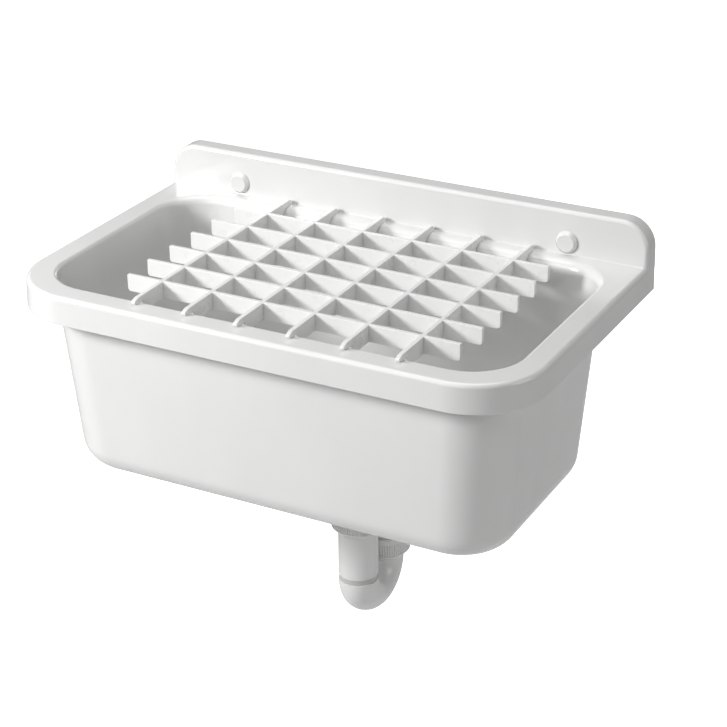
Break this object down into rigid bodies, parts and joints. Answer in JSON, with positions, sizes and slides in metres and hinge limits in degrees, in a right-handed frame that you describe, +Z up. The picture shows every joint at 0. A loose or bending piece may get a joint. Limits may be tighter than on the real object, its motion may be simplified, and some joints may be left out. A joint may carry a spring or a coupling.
{
  "type": "mop service sink",
  "caption": "Wall-hung plastic service sink: deep basin with splashback, lift-up grate on the rim, screw cover caps and a U-shaped trap with ribbed union nuts below.",
  "frame": {"origin": "midway between the two screw holes, on the wall plane", "axes": "+X to the right as one faces the sink, +Y into the wall, +Z up"},
  "size_m": [0.51, 0.314, 0.4385],
  "materials": {
    "basin_plastic": "glossy white moulded plastic",
    "grate_plastic": "glossy white moulded plastic",
    "seat_plastic": "white plastic washer",
    "cap_plastic": "glossy white snap cap",
    "strainer_steel": "brushed stainless sheet",
    "screw_steel": "stainless screw",
    "insert_brass": "turned brass",
    "gasket_rubber": "dark flat rubber",
    "washer_rubber": "dark moulded rubber",
    "waste_plastic": "white moulded plastic",
    "nut_plastic": "white moulded plastic with fine grip ribs",
    "tube_plastic": "white moulded plastic tube",
    "seal_plastic": "pale ring in a groove"
  },
  "bodies": {
    "sink": {"basin": "basin_plastic", "cap_seats": "seat_plastic", "strainer": "strainer_steel", "strainer_screw": "screw_steel", "screw_insert": "insert_brass", "upper_gasket": "gasket_rubber", "lower_gasket": "gasket_rubber", "waste_body": "waste_plastic", "inlet_washer": "washer_rubber", "inlet_leg": "tube_plastic", "bend_seal": "seal_plastic", "trap_bend": "tube_plastic", "outlet_washer": "washer_rubber", "outlet_elbow": "tube_plastic"},
    "grate": {"grate": "grate_plastic"},
    "cap_left": {"cover_cap_left": "cap_plastic"},
    "cap_right": {"cover_cap_right": "cap_plastic"},
    "inlet_nut": {"inlet_nut": "nut_plastic"},
    "outlet_nut": {"outlet_nut": "nut_plastic"}
  },
  "joints": [
    {"name": "grate_tilt", "type": "hinge", "parent": "sink", "child": "grate", "pos_m": [0.0126, -0.02585, -0.00895], "axis": [-1, 0, 0], "range_deg": [0, 94]},
    {"name": "cap_left_pull", "type": "slide", "parent": "sink", "child": "cap_left", "axis": [0, -1, 0], "range_m": [0, 0.01]},
    {"name": "cap_right_pull", "type": "slide", "parent": "sink", "child": "cap_right", "axis": [0, -1, 0], "range_m": [0, 0.01]},
    {"name": "inlet_nut_turn", "type": "hinge", "parent": "sink", "child": "inlet_nut", "pos_m": [0, -0.105, -0.2925], "axis": [0, 0, 1], "continuous": true},
    {"name": "outlet_nut_turn", "type": "hinge", "parent": "sink", "child": "outlet_nut", "pos_m": [0, -0.049, -0.3465], "axis": [0, 0, 1], "continuous": true}
  ]
}
